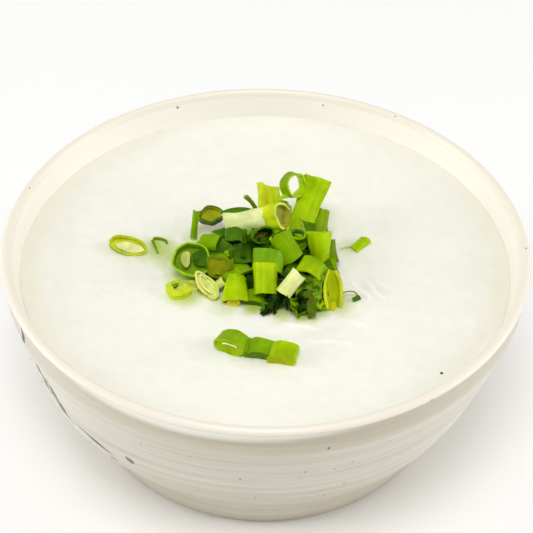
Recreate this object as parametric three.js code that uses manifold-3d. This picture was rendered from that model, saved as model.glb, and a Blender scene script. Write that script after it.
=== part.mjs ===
// A stoneware bowl of plain rice congee, topped with a heap of cut spring onion.
// Millimetres, +Z up. The origin is the middle of the foot ring, on the table.

import * as THREE from 'three';
import { mergeVertices } from 'three/addons/utils/BufferGeometryUtils.js';
import Module from 'manifold-3d';

const wasm = await Module();
wasm.setup();

// ---- Driving dimensions -------------------------------------------------------------------

const BOWL_HEIGHT = 64;
const RIM_RADIUS = 75;          // to the middle of the lip's outer roll
const TURNED_EDGE = [63.3, 21]; // radius and height of the crisp edge left by the turning tool
const FOOT_OUTER = 52.2;
const FOOT_INNER = 47.4;
const FOOT_RECESS = 3.2;        // how far the unglazed base is hollowed inside the foot ring
const FLOOR_TOP = 8;            // height of the inside floor
const LIP_RADIUS = 1.75;        // half the lip's thickness
const LIP_HEIGHT = 2.6;         // how far the lip's round top reaches down
const ROUNDS = 56;              // facets round the bowl

const OVAL = 1.04;              // the thrown rim is out of round by this much at its long ends
const OVAL_TURN = THREE.MathUtils.degToRad(-15.6);

const CONGEE_LEVEL = 56.2;
const CONGEE_CONTACT = 55.4;    // the skin rounds down to the wall
const SHOULDER_START = 60;      // radius where it starts to round down
const SKIN_RINGS = [66, 61, 55, 48, 41, 34, 0];
const RIPPLE = 0.28;            // height of the slow swells in the skin
const SWELLS = [                // two crossing waves: radians a millimetre along X and Y, and phase
  [0.141, 0.088, 0],
  [-0.064, 0.159, 1.9],
];
const CALM_RADIUS = [36, 50];   // no swells inside the first radius, full ones past the second

const GAP = 0.3;                // clearance between pieces that touch
const STALK_SIDES = 10;
const SMALL_STALK_SIDES = 8;    // for what is under SMALL_STALK across
const SMALL_STALK = 7.3;
const CRUMPLE_LOBES = 3;        // waves round a crumpled wall
const CRUMPLE_TWIST = 5;        // radians they turn from end to end
const CRUMPLE_STEPS = 3;
const LEAF_THICKNESS = 0.9;
const LEAF_WAVES = 1.15;        // waves across a curly leaf tip
const LEAF_STEPS = 6;

// ---- Solids ---------------------------------------------------------------------------------

// Joins a geometry's shared corners and drops the empty triangles that are left at its poles.
function welded(geometry) {
  geometry.deleteAttribute('normal');
  geometry.deleteAttribute('uv');
  const joined = mergeVertices(geometry, 1e-4);
  const corners = joined.index.array;
  const kept = [];
  for (let i = 0; i < corners.length; i += 3) {
    const [a, b, c] = corners.slice(i, i + 3);
    if (a !== b && b !== c && c !== a) kept.push(a, b, c);
  }
  joined.setIndex(kept);
  return joined;
}

function toSolid(geometry) {
  const joined = welded(geometry);
  const vertProperties = new Float32Array(joined.attributes.position.array);
  const triVerts = new Uint32Array(joined.index.array);
  return new wasm.Manifold(new wasm.Mesh({ numProp: 3, vertProperties, triVerts }));
}

// Gives a solid's largest closed skin. Sealed hollows and loose scraps are left out.
function toGeometry(solid) {
  const { vertProperties, triVerts } = solid.getMesh();
  const parent = Array.from({ length: vertProperties.length / 3 }, (_, i) => i);
  const root = (i) => {
    while (parent[i] !== i) i = parent[i] = parent[parent[i]];
    return i;
  };
  const corner = (i) => new THREE.Vector3().fromArray(vertProperties, 3 * i);
  for (let i = 0; i < triVerts.length; i += 3) {
    parent[root(triVerts[i])] = root(triVerts[i + 1]);
    parent[root(triVerts[i + 1])] = root(triVerts[i + 2]);
  }
  const skins = new Map();
  for (let i = 0; i < triVerts.length; i += 3) {
    const [a, b, c] = triVerts.slice(i, i + 3);
    const skin = skins.get(root(a)) ?? { volume: 0, corners: [] };
    skin.volume += corner(a).dot(corner(b).cross(corner(c))) / 6;
    skin.corners.push(a, b, c);
    skins.set(root(a), skin);
  }
  const [largest] = [...skins.values()].sort((a, b) => b.volume - a.volume);
  const geometry = new THREE.BufferGeometry();
  geometry.setAttribute('position', new THREE.BufferAttribute(vertProperties, 3));
  geometry.setIndex(largest.corners);
  return geometry.toNonIndexed();
}

function moveCorners(geometry, move) {
  const positions = geometry.attributes.position;
  const point = new THREE.Vector3();
  for (let i = 0; i < positions.count; i += 1) {
    point.fromBufferAttribute(positions, i);
    move(point);
    positions.setXYZ(i, point.x, point.y, point.z);
  }
  return geometry;
}

// ---- Bowl and congee --------------------------------------------------------------------------

// A smooth run through [radius, height] points, in the given number of steps.
function run(points, steps) {
  const curve = new THREE.SplineCurve(points.map(([r, z]) => new THREE.Vector2(r, z)));
  return curve.getPoints(steps);
}

const insideWall = run([
  [RIM_RADIUS - 2.9, 61.8], [70.9, 56], [68.6, 48], [65.2, 38], [60.9, 29],
  [54.4, 20.4], [44.5, 13.4], [30, 9.4], [14, FLOOR_TOP + 0.1], [0, FLOOR_TOP],
], 13);

// From the middle of the base, under the foot, up the outside, over the lip and down the inside.
function bowlOutline() {
  const foot = [
    [0, FOOT_RECESS], [FOOT_INNER - 1, FOOT_RECESS], [FOOT_INNER, 0], [FOOT_OUTER, 0],
  ].map(([r, z]) => new THREE.Vector2(r, z));
  const turnedPart = run([[FOOT_OUTER + 0.8, 0.9], [54, 4], [56.4, 9.6], [59.6, 15.6], TURNED_EDGE], 5);
  const side = run([TURNED_EDGE, [67.2, 30], [71.2, 42], [74.1, 52], [74.9, 54.9]], 6);
  const grooveUnderLip = run([[74.9, 54.9], [74.5, 57.4], [74.7, 59.4], [75.4, 61.2]], 3);
  const lipMiddle = RIM_RADIUS + 0.5 - LIP_RADIUS;
  const lip = [];
  for (const degrees of [10, 40, 70, 100, 130, 160]) {
    const turn = THREE.MathUtils.degToRad(degrees);
    const across = lipMiddle + LIP_RADIUS * Math.cos(turn);
    lip.push(new THREE.Vector2(across, BOWL_HEIGHT - LIP_HEIGHT * (1 - Math.sin(turn))));
  }
  return [...foot, ...turnedPart, ...side.slice(1), ...grooveUnderLip.slice(1), ...lip, ...insideWall];
}

// Turns an outline round +Z.
function turned(outline, rounds) {
  return new THREE.LatheGeometry(outline, rounds).rotateX(Math.PI / 2);
}

// Gives the bowl and what fills it the same gentle oval, growing from nothing at the foot.
function ovalled(geometry) {
  return moveCorners(geometry, (point) => {
    const around = Math.atan2(point.y, point.x) - OVAL_TURN;
    const stretch = 1 + (OVAL / RIM_RADIUS) * Math.cos(2 * around) * (point.z / BOWL_HEIGHT);
    point.x *= stretch;
    point.y *= stretch;
  });
}

// Slow swells left where the thick congee was ladled in and set.
function swell(x, y) {
  const away = THREE.MathUtils.smoothstep(Math.hypot(x, y), CALM_RADIUS[0], CALM_RADIUS[1]);
  const waves = SWELLS.map(([alongX, alongY, phase]) => Math.sin(x * alongX + y * alongY + phase));
  return RIPPLE * away * (waves[0] + waves[1]) / 2;
}

function surfaceHeight(radius, contactRadius) {
  const over = Math.max(0, radius - SHOULDER_START) / (contactRadius - SHOULDER_START);
  return CONGEE_LEVEL - (CONGEE_LEVEL - CONGEE_CONTACT) * over ** 3;
}

// The bowl's inside wall moved inwards by the gap, up to the height where the congee ends.
function congeeSide() {
  const inset = insideWall.map((point, i) => {
    const before = insideWall[Math.max(i - 1, 0)];
    const after = insideWall[Math.min(i + 1, insideWall.length - 1)];
    const along = after.clone().sub(before).normalize();
    const inwards = new THREE.Vector2(along.y, -along.x);
    return i === insideWall.length - 1
      ? new THREE.Vector2(0, point.y + GAP)
      : point.clone().addScaledVector(inwards, GAP);
  });
  const above = inset.findLastIndex((point) => point.y > CONGEE_CONTACT);
  const [high, low] = [inset[above], inset[above + 1]];
  const share = (high.y - CONGEE_CONTACT) / (high.y - low.y);
  return [high.clone().lerp(low, share), ...inset.slice(above + 1)];
}

function congeeFill() {
  const side = congeeSide().reverse();
  const contactRadius = side.at(-1).x;
  const top = [contactRadius - 0.8, contactRadius - 2.2, ...SKIN_RINGS]
    .map((radius) => new THREE.Vector2(radius, surfaceHeight(radius, contactRadius)));
  const fill = turned([...side, ...top], ROUNDS);
  moveCorners(fill, (point) => {
    const onSkin = Math.hypot(point.x, point.y) < contactRadius - 1.5 && point.z > CONGEE_CONTACT;
    if (onSkin) point.z += swell(point.x, point.y);
  });
  return toSolid(ovalled(fill));
}

// ---- Cut spring onion -------------------------------------------------------------------------

// Turns a shape made along +Z to point the way it lies, and moves it there.
function aimed(geometry, at, aim, turn) {
  const [azimuth, elevation, roll] = [...aim, turn].map((angle) => THREE.MathUtils.degToRad(angle));
  return geometry.rotateZ(roll).rotateY(Math.PI / 2 - elevation).rotateZ(azimuth).translate(...at);
}

// One cut length of hollow stalk or leaf, or the part of its wall between two angles.
// at: its middle. aim: the azimuth and elevation of its axis. turn: its roll about that axis.
// size: the section's width and its depth from top to bottom. Angle 0 of span is the top.
// slant: how much longer the top is at the near and far end. crumple: how far the wall waves.
// grow swells it all over, for the pocket that it lies in.
function stalk(piece, grow = 0) {
  const { at, aim, turn = 0, size, long, wall = 0, span = [0, 360], slant = [0, 0], crumple = 0 } = piece;
  const [halfWidth, halfDepth] = size.map((across) => across / 2 + grow);
  const thick = wall + 2 * grow;
  const whole = span[1] - span[0] >= 360;
  const widen = whole ? 0 : grow / Math.min(halfWidth, halfDepth);
  const [from, to] = [
    THREE.MathUtils.degToRad(span[0]) - widen,
    THREE.MathUtils.degToRad(span[1]) + widen,
  ];
  const outline = new THREE.Shape().absellipse(0, 0, halfDepth, halfWidth, from, to, false, 0);
  if (whole && wall > 0) {
    const hole = new THREE.Path();
    hole.absellipse(0, 0, halfDepth - thick, halfWidth - thick, from, to, false, 0);
    outline.holes.push(hole);
  } else if (!whole) {
    outline.absellipse(0, 0, halfDepth - thick, halfWidth - thick, to, from, true, 0);
    outline.closePath();
  }
  const roundSides = size[0] < SMALL_STALK ? SMALL_STALK_SIDES : STALK_SIDES;
  const sides = whole ? roundSides : Math.max(4, Math.round(roundSides * (to - from) / (2 * Math.PI)));
  const steps = crumple > 0 ? CRUMPLE_STEPS : 1;
  const length = long + 2 * grow;
  const geometry = new THREE.ExtrudeGeometry(outline, {
    depth: length, bevelEnabled: false, curveSegments: Math.ceil(sides / 2), steps,
  });
  // The extruded section stands on its X axis: half a turn puts angle 0 at the top.
  geometry.translate(0, 0, -length / 2).rotateZ(Math.PI);
  moveCorners(geometry, (point) => {
    const share = point.z / length + 0.5;
    const around = Math.atan2(point.y, point.x);
    const shrink = 1 + crumple * Math.sin(CRUMPLE_LOBES * around + CRUMPLE_TWIST * share);
    point.z += -point.x * (slant[0] * (share - 1) + slant[1] * share);
    point.x *= shrink;
    point.y *= shrink;
  });
  return toSolid(aimed(geometry, at, aim, turn));
}

// A thin curly leaf tip: a wavy ribbon, wide by long, as thick as LEAF_THICKNESS.
function leafTip({ at, aim, turn, wide, wave, long }) {
  const edge = (side) => Array.from({ length: LEAF_STEPS + 1 }, (_, i) => {
    const share = i / LEAF_STEPS;
    const lift = wave * Math.sin(2 * Math.PI * LEAF_WAVES * share);
    return new THREE.Vector2(lift + side * LEAF_THICKNESS / 2, (share - 0.5) * wide);
  });
  const ribbon = new THREE.Shape([...edge(-1), ...edge(1).reverse()]);
  const geometry = new THREE.ExtrudeGeometry(ribbon, { depth: long, bevelEnabled: false });
  return toSolid(aimed(geometry.translate(0, 0, -long / 2), at, aim, turn));
}

// The pieces of the heap, from its back edge to its front, each with its own size and lean.
const heapPieces = {
  backStrip: {
    at: [-20.5, 10.6, 60.4], aim: [72, 66], size: [4, 3.6],
    long: 8.8, wall: 0.9, span: [-42, 42],
  },
  backRing: { at: [-16, 12, 62.4], aim: [-3, -3], size: [5.4, 4.8], long: 7.6, wall: 0.9, slant: [0.3, 0] },
  backBlock: { at: [1.3, 17.2, 66.4], aim: [85, 52], size: [6.6, 5.4], long: 8.4, wall: 1.1 },
  backFillLeft: { at: [-11.5, 7.5, 59.6], aim: [20, 6], size: [7.4, 6.4], long: 7, wall: 1.1 },
  backFillMiddle: { at: [2.5, 14, 60.6], aim: [100, 18], size: [8.2, 7], long: 7, wall: 1.2 },
  backFillRight: { at: [13.6, 8.4, 60], aim: [-160, 10], size: [8, 6.6], long: 7.4, wall: 1.1 },
  darkStub: { at: [-4.4, 14, 65.2], aim: [163, 58], size: [1.9, 1.6], long: 7 },
  darkSliver: {
    at: [-7.5, 12.8, 63.6], aim: [4, 4], size: [4.6, 4],
    long: 9.6, wall: 0.9, span: [-30, 60],
  },
  whiteStalk: { at: [-6.3, 11, 60.7], aim: [4, 2], size: [7.4, 7], long: 11.6, wall: 1.3, slant: [0.2, 0] },
  yellowRing: { at: [2.2, 10, 64.2], aim: [-20, 20], size: [9.2, 9], long: 5.4, wall: 1.2 },
  tallLeaf: {
    at: [12.2, 12.6, 65.4], aim: [65, 39], size: [8.4, 4.6],
    long: 17.6, wall: 1, slant: [0, -0.5],
  },
  leafLoop: { at: [7.6, 17.4, 70.6], aim: [-55, 35], size: [6.8, 7.4], long: 2.8, wall: 0.9 },
  oliveFlap: {
    at: [16.4, 9.6, 63.2], aim: [70, 40], size: [6.2, 4.2],
    long: 7.2, wall: 1, span: [-95, 95],
  },
  darkRing: { at: [-1, 1.6, 63.4], aim: [10, 8], size: [7.2, 6.2], long: 5.2, wall: 1.1 },
  darkStalk: { at: [-8.5, -0.9, 63.2], aim: [90, 58], size: [6.4, 5.8], long: 6.6, wall: 1.1 },
  leftTopStalk: { at: [-16, 1.9, 61.2], aim: [-18, 4], size: [6, 5.2], long: 6.8, wall: 1 },
  smallRing: { at: [9.8, -0.2, 65.2], aim: [100, 55], size: [5.4, 4.6], long: 3.4, wall: 0.9 },
  centreStalk: { at: [6, -4.3, 64.8], aim: [135, 44], size: [7.4, 6.4], long: 8.6, wall: 1.1 },
  rightStalk: { at: [15.7, -3, 62.6], aim: [96, 60], size: [7.8, 6.6], long: 9.2, wall: 1.2 },
  rightBackRing: { at: [18.6, -0.6, 59.6], aim: [110, 40], size: [7, 6], long: 6, wall: 1 },
  leftRing: { at: [-21.2, -6, 60], aim: [-140, 22], size: [10.4, 9.4], long: 6.6, wall: 1.1 },
  oliveRing: { at: [-13.2, -8.4, 60.6], aim: [-84, 16], size: [8.2, 7.4], long: 6.6, wall: 1.2 },
  darkCurl: {
    at: [-7.2, -6.7, 61.8], aim: [110, 30], size: [7.6, 6.4],
    long: 7.4, wall: 1.2, crumple: 0.08,
  },
  frontRing: { at: [0.8, -9.6, 63.8], aim: [92, 50], size: [9.8, 8.4], long: 6.2, wall: 1.1 },
  frontStalk: { at: [0.1, -13.8, 60.8], aim: [89, 37], size: [7.2, 6], long: 8.8, wall: 1.1 },
  rightRing: { at: [13.1, -11, 61.8], aim: [65, 28], size: [9, 7.2], long: 6.6, wall: 1.1 },
  paleStalk: { at: [7.4, -16.5, 61.4], aim: [40, 36], size: [4.8, 4.4], long: 7.6 },
  crumpledRight: {
    at: [14, -14.8, 59.2], aim: [70, 20], size: [8.6, 6.4],
    long: 7.2, wall: 1.2, crumple: 0.07,
  },
  curvedWall: {
    at: [19.9, -16, 59.6], aim: [92, 38], size: [5.4, 4.8],
    long: 11, wall: 1.1, span: [-130, 110],
  },
  rightFill: { at: [20.2, -8, 58.8], aim: [20, 12], size: [6.2, 5.4], long: 5.2, wall: 1.1 },
  leftFlatRing: { at: [-24, -14.4, 58.1], aim: [60, 70], size: [9.2, 7.4], long: 3.4, wall: 1.1 },
  paleRing: { at: [-16.6, -14.8, 58.8], aim: [-95, 24], size: [7.2, 6.6], long: 5.8, wall: 1.2 },
  leftWedge: { at: [-8.4, -16, 59.2], aim: [88, 30], size: [8.8, 6.4], long: 8, wall: 1.1 },
  smallOlive: { at: [18.9, -21, 57.9], aim: [90, 30], size: [3.4, 3], long: 4 },
  thread: { at: [24, -17.4, 57], aim: [-90, 40], size: [5.4, 3.6], long: 0.9, wall: 0.7, span: [-95, 95] },
};

// Curly dark leaf tips that hang out of the heap's front edge.
const leafTips = [
  { at: [2.4, -20.6, 58.4], aim: [75, 24], turn: 20, wide: 4.4, wave: 0.9, long: 6.6 },
  { at: [0.6, -22.4, 57.4], aim: [55, 14], turn: -40, wide: 3.2, wave: 0.7, long: 4.6 },
  { at: [9.4, -20.6, 58.8], aim: [20, 16], turn: 0, wide: 6.4, wave: 1, long: 6.8 },
  { at: [12, -21.4, 58.6], aim: [110, 26], turn: 60, wide: 5, wave: 0.9, long: 7.4 },
];

// The packed small cuts under the pieces that show: a low uneven mound, sunk a little.
const MOUND = {
  middle: [-0.5, -3],
  half: [21.5, 15],
  top: 63,
  sunk: 1.6,
  bulges: [[0.07, 3, 1], [0.04, 5, 2.2]], // share of the half width, bulges round it, phase
};

function mound(grow = 0) {
  const floor = CONGEE_LEVEL - MOUND.sunk;
  const outline = [[0, floor - grow], [0.96, floor - grow]];
  for (const degrees of [12, 35, 60, 90]) {
    const turn = THREE.MathUtils.degToRad(degrees);
    outline.push([Math.cos(turn), floor + (MOUND.top - floor + grow) * Math.sin(turn)]);
  }
  outline[outline.length - 1][0] = 0;
  const dome = turned(outline.map(([r, z]) => new THREE.Vector2(r, z)), 24);
  return toSolid(moveCorners(dome, (point) => {
    const around = Math.atan2(point.y, point.x);
    let uneven = 1;
    for (const [share, count, phase] of MOUND.bulges) uneven += share * Math.sin(count * around + phase);
    point.x = MOUND.middle[0] + point.x * (MOUND.half[0] * uneven + grow);
    point.y = MOUND.middle[1] + point.y * (MOUND.half[1] * uneven + grow);
  }));
}

// What of the heap's pieces would dip into the congee is trimmed off just above it.
function springOnionHeap() {
  const airHeight = 40;
  const air = new THREE.BoxGeometry(2 * RIM_RADIUS, 2 * RIM_RADIUS, airHeight);
  const clearOfCongee = toSolid(air.translate(0, 0, CONGEE_LEVEL + GAP + airHeight / 2));
  const stalks = Object.values(heapPieces).map((piece) => stalk(piece));
  const joined = [...stalks, ...leafTips.map(leafTip)].reduce((heap, piece) => heap.add(piece));
  return joined.intersect(clearOfCongee).add(mound());
}

// Cuts that fell clear of the heap, each lying a little way into the congee.
const looseRing = { at: [-40.4, 4.6, 56.4], aim: [63, 82], size: [12.4, 6.4], long: 2.8, wall: 1 };
const looseCurl = {
  at: [-30.6, 5.6, 56.1], aim: [0, 80], size: [9, 5.4],
  long: 2, wall: 0.8, span: [-125, 85],
};
const looseBit = { at: [28.1, 5.8, 56.7], aim: [46, 8], size: [3.2, 1.8], long: 5.6 };
const chainRings = [
  { at: [-9, -36.4, 57.3], aim: [-112, 4], size: [9, 4.8], long: 5.8, wall: 1, slant: [0, 0.2] },
  { at: [-1.4, -38.7, 57.2], aim: [-104, 2], size: [8.2, 4.5], long: 5.4, wall: 1 },
  { at: [5.2, -40.1, 57.3], aim: [-98, 0], size: [7.8, 4.7], long: 5.8, wall: 1 },
];

function fused(pieces, grow = 0) {
  return pieces.map((piece) => stalk(piece, grow)).reduce((whole, piece) => whole.add(piece));
}

// ---- Assembly -----------------------------------------------------------------------------------

const glaze = new THREE.MeshStandardMaterial({ color: 0xe6e0d0, roughness: 0.32, metalness: 0 });
const porridge = new THREE.MeshStandardMaterial({ color: 0xf6f5ea, roughness: 0.38, metalness: 0 });
const green = new THREE.MeshStandardMaterial({ color: 0x7fa81a, roughness: 0.36, metalness: 0 });
const yellowGreen = new THREE.MeshStandardMaterial({ color: 0xc2cc3a, roughness: 0.36, metalness: 0 });
const darkGreen = new THREE.MeshStandardMaterial({ color: 0x3f6a14, roughness: 0.4, metalness: 0 });

const bowlOfCongee = new THREE.Group();

function place(name, geometry, material) {
  const mesh = new THREE.Mesh(geometry, material);
  mesh.name = name;
  bowlOfCongee.add(mesh);
}

const pockets = [[looseRing], [looseCurl], [looseBit], chainRings].map((pieces) => fused(pieces, GAP));
const congee = [mound(GAP), ...pockets].reduce((rest, pocket) => rest.subtract(pocket), congeeFill());

place('bowl', toGeometry(toSolid(ovalled(turned(bowlOutline(), ROUNDS)))), glaze);
place('congee', toGeometry(congee), porridge);
place('spring_onion_heap', toGeometry(springOnionHeap()), green);
place('loose_ring', toGeometry(fused([looseRing])), yellowGreen);
place('loose_curl', toGeometry(fused([looseCurl])), darkGreen);
place('loose_bit', toGeometry(fused([looseBit])), yellowGreen);
place('joined_rings', toGeometry(fused(chainRings)), green);

export default bowlOfCongee;
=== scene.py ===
# A stoneware bowl of plain rice congee with a heap of cut spring onion on it.
# Metres, +Z up. The origin is on the table, at the middle of the foot ring.
import math
import random

import bpy
import numpy as np
from mathutils import Matrix, Vector, noise


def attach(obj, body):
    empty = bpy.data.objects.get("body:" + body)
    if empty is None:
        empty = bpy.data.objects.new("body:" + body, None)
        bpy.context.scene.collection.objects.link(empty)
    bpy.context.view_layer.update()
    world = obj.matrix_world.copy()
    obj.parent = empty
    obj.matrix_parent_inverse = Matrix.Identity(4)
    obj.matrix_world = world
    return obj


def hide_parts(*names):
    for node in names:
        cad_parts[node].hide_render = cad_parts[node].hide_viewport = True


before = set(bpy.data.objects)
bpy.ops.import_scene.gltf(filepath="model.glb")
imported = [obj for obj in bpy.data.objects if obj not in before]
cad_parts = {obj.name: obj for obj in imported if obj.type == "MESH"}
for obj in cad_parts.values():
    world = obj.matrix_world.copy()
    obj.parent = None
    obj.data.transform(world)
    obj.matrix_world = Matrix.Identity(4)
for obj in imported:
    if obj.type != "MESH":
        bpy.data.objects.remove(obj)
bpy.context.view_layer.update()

# ---- The bowl's body -----------------------------------------------------------------------------
# Stoneware thrown on a wheel: a thin lip turned out over a groove, throwing rings down the side,
# a lower part turned to a crisp edge, and a foot ring round a shallow recess.

MM = 0.001
BOWL_HEIGHT = 64 * MM
RIM_RADIUS = 75 * MM
TURNED_EDGE = 21 * MM
THROWING_RING = 0.07 * MM
RING_PITCH = 5.1 * MM
OVAL = 1.04 * MM
OVAL_TURN = math.radians(-15.6)
FULL_FLANK = 2 * MM
FLANK_BEARING = math.radians(213)
FLANK_HEIGHT = 31 * MM
FLANK_SPREAD = 13 * MM
BOWL_ROUNDS = 192


def smooth_line(points, steps):
    """Points along one smooth curve through the given ones."""
    line = []
    for step in range(steps + 1):
        place = step / steps * (len(points) - 1)
        start = min(int(place), len(points) - 2)
        before, here, there, after = (
            np.array(points[min(max(i, 0), len(points) - 1)], float) for i in range(start - 1, start + 3)
        )
        t = place - start
        square = (2 * before - 5 * here + 4 * there - after) * t**2
        cube = (3 * here - 3 * there + after - before) * t**3
        line.append(here + ((there - before) * t + square + cube) / 2)
    return line


def millimetres(*points):
    return [(r * MM, z * MM) for r, z in points]


foot = millimetres((46.4, 3.2), (47, 1.2), (47.5, 0.25), (48, 0), (51.6, 0), (52.3, 0.3))
turned_part = smooth_line(millimetres((53, 0.9), (54, 4), (56.4, 9.6), (59.6, 15.6), (63, 20.6)), 16)
outside_wall = smooth_line(millimetres((63.45, 21.3), (67.2, 30), (71.2, 42), (74, 52), (74.7, 54.4)), 56)
groove = smooth_line(
    millimetres((74.78, 54.9), (74.6, 55.7), (74.34, 56.6), (74.28, 57.8), (74.36, 59.2), (74.46, 60.3))
    + millimetres((74.5, 61.2), (74.75, 61.8), (75.25, 62.2)), 26)
lip = smooth_line(
    millimetres((75.5, 62.5), (75.52, 62.9), (75.2, 63.45), (74.7, 63.8), (74.1, 63.98), (73.5, 63.9))
    + millimetres((72.95, 63.45), (72.55, 62.75)), 20)
inside_wall = smooth_line(
    millimetres((72.1, 61.8), (70.9, 56), (68.6, 48), (65.2, 38), (60.9, 29))
    + millimetres((54.4, 20.4), (44.5, 13.4), (30, 9.4), (14, 8.1), (0.3, 8)), 54)


def throwing_ring(radius, height):
    """The ridge that the potter's fingers left at this height, fading out at the turned edge."""
    fade = min(1, (height - TURNED_EDGE) / (6 * MM))
    broad_wave = math.sin(2 * math.pi * height / RING_PITCH)
    close_wave = math.sin(4.65 * math.pi * height / RING_PITCH + 1)
    return radius + THROWING_RING * fade * (broad_wave + 0.5 * close_wave), height


def turned(name, outline, rounds):
    """Draws a closed wall ring by ring along an outline of (radius, height)."""
    bpy.ops.object.select_all(action="DESELECT")
    radius, height = outline[0]
    bpy.ops.mesh.primitive_circle_add(
        vertices=rounds, radius=radius, fill_type="TRIFAN", location=(0, 0, height))
    piece = bpy.context.object
    piece.name = name
    bpy.ops.object.transform_apply(location=True, rotation=True, scale=True)
    bpy.ops.object.mode_set(mode="EDIT")
    bpy.ops.mesh.select_all(action="SELECT")
    for next_radius, next_height in outline[1:]:
        bpy.ops.mesh.extrude_region_move(TRANSFORM_OT_translate={"value": (0, 0, next_height - height)})
        growth = next_radius / radius
        bpy.ops.transform.resize(value=(growth, growth, 1), center_override=(0, 0, 0))
        radius, height = next_radius, next_height
    bpy.ops.mesh.select_all(action="SELECT")
    bpy.ops.mesh.normals_make_consistent(inside=False)
    bpy.ops.object.mode_set(mode="OBJECT")
    return piece


def oval_stretch(bearing, height):
    """How much wider than round the bowl is here. The oval grows from nothing at the foot."""
    return 1 + OVAL / RIM_RADIUS * math.cos(2 * (bearing - OVAL_TURN)) * height / BOWL_HEIGHT


def out_of_round(piece):
    """Gives the bowl and what fills it the same gentle oval and the same full flank."""
    for vertex in piece.data.vertices:
        bearing = math.atan2(vertex.co.y, vertex.co.x)
        stretch = oval_stretch(bearing, vertex.co.z)
        flank = math.cos(bearing - FLANK_BEARING)
        if flank > 0:
            from_flank = (vertex.co.z - FLANK_HEIGHT) / FLANK_SPREAD
            stretch += FULL_FLANK / RIM_RADIUS * flank**8 * math.exp(-(from_flank**2))
        vertex.co.x *= stretch
        vertex.co.y *= stretch


side = [throwing_ring(*point) for point in outside_wall]
bowl = turned("bowl_body", foot + turned_part + side + groove + lip + inside_wall, BOWL_ROUNDS)
out_of_round(bowl)
bpy.ops.object.shade_smooth_by_angle(angle=math.radians(32))


class Wire:
    """One output in a shader tree. Arithmetic on it adds the Math nodes."""

    def __init__(self, tree, socket=None):
        self.tree = tree
        self.socket = socket

    def node(self, kind, settings, sockets, out=0):
        """Adds a node, sets it up, feeds its sockets with values or wires, and gives one output."""
        node = self.tree.nodes.new("ShaderNode" + kind)
        for name, value in settings.items():
            setattr(node, name, value)
        for name, value in sockets.items():
            if isinstance(value, Wire):
                self.tree.links.new(value.socket, node.inputs[name])
            else:
                node.inputs[name].default_value = value
        return Wire(self.tree, node.outputs[out])

    def math(self, operation, *values):
        return self.node("Math", {"operation": operation}, dict(enumerate(values)))

    def __add__(self, other):
        return self.math("ADD", self, other)

    def __radd__(self, other):
        return self.math("ADD", other, self)

    def __sub__(self, other):
        return self.math("SUBTRACT", self, other)

    def __rsub__(self, other):
        return self.math("SUBTRACT", other, self)

    def __mul__(self, other):
        return self.math("MULTIPLY", self, other)

    def __rmul__(self, other):
        return self.math("MULTIPLY", other, self)

    def __truediv__(self, other):
        return self.math("DIVIDE", self, other)

    def __rtruediv__(self, other):
        return self.math("DIVIDE", other, self)

    def absolute(self):
        return self.math("ABSOLUTE", self)

    def larger(self, other):
        return self.math("MAXIMUM", self, other)

    def step(self, low, high):
        """0 below low and 1 above high, with a soft step between. Low may be the larger."""
        return self.node("MapRange", {"interpolation_type": "SMOOTHSTEP"},
                         {"Value": self, "From Min": low, "From Max": high})

    def blend(self, first, second):
        """Mixes two colours, by this wire as the share of the second."""
        return self.node("Mix", {"data_type": "RGBA"}, {0: self, 6: first, 7: second}, 2)

    def tinted(self, other):
        """Multiplies two colours."""
        settings = {"data_type": "RGBA", "blend_type": "MULTIPLY"}
        return self.node("Mix", settings, {0: 1.0, 6: self, 7: other}, 2)

    def stretched(self, x, y, z):
        return self.node("VectorMath", {"operation": "MULTIPLY"}, {0: self, 1: (x, y, z)})

    def grain(self, scale, detail=2.0, roughness=0.5):
        """Soft random variation about 0.5, read at this place."""
        sockets = {"Vector": self, "Scale": scale, "Detail": detail, "Roughness": roughness}
        return self.node("TexNoise", {}, sockets, "Fac")

    def apart(self, point):
        """How far this place is from a point."""
        return self.node("VectorMath", {"operation": "DISTANCE"}, {0: self, 1: point}, "Value")


def new_finish(name, **constants):
    """A material, the start of its tree and its shader, with the constants set on the shader."""
    material = bpy.data.materials.new(name)
    material.use_nodes = True
    tree = material.node_tree
    shader = tree.nodes["Principled BSDF"]
    for socket, value in constants.items():
        shader.inputs[socket.replace("_", " ")].default_value = value
    return material, Wire(tree), shader


def feed(shader, socket, wire):
    wire.tree.links.new(wire.socket, shader.inputs[socket])


def relief(shader, height, distance):
    bumped = height.node("Bump", {}, {"Strength": 1.0, "Distance": distance, "Height": height}, "Normal")
    feed(shader, "Normal", bumped)


def paint(red, green, blue):
    """A colour given as 0 to 255 a channel, turned into what the shaders work in."""
    shares = [channel / 255 for channel in (red, green, blue)]
    return (*[s / 12.92 if s < 0.04045 else ((s + 0.055) / 1.055) ** 2.4 for s in shares], 1.0)


# The glaze is a satin cream with iron specks. Down the outside it takes a darker, warmer copy
# of the cream, which is painted shade, and painted light makes it paler at the left and right.
# Painted shade also darkens the groove, the underside of the lip and the part below the turned
# edge, and the glaze breaks thin over that edge. On the left flank a grass sprig is brushed under
# it, in blue-black. The ring that the bowl stands on is wiped bare, down to the buff clay.

GLAZE_INSIDE = paint(250, 247, 236)
GLAZE_LIP = paint(242, 235, 219)
OUTSIDE_PAINTED_SHADE = paint(192, 185, 165)
THIN_GLAZE_AND_SHADE = paint(186, 176, 150)
BARE_CLAY = paint(196, 176, 146)
IRON_SPECK = paint(96, 80, 60)
BRUSH_INK = paint(44, 46, 52)
SIDES_PAINTED_LIGHTER = 0.4
LIP_START = (61.6 * MM, 62.8 * MM)
LIP_UNDERSIDE = 61.4 * MM
GROOVE_HEIGHT = 57.6 * MM
PAINTED_RADIUS = 70

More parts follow.
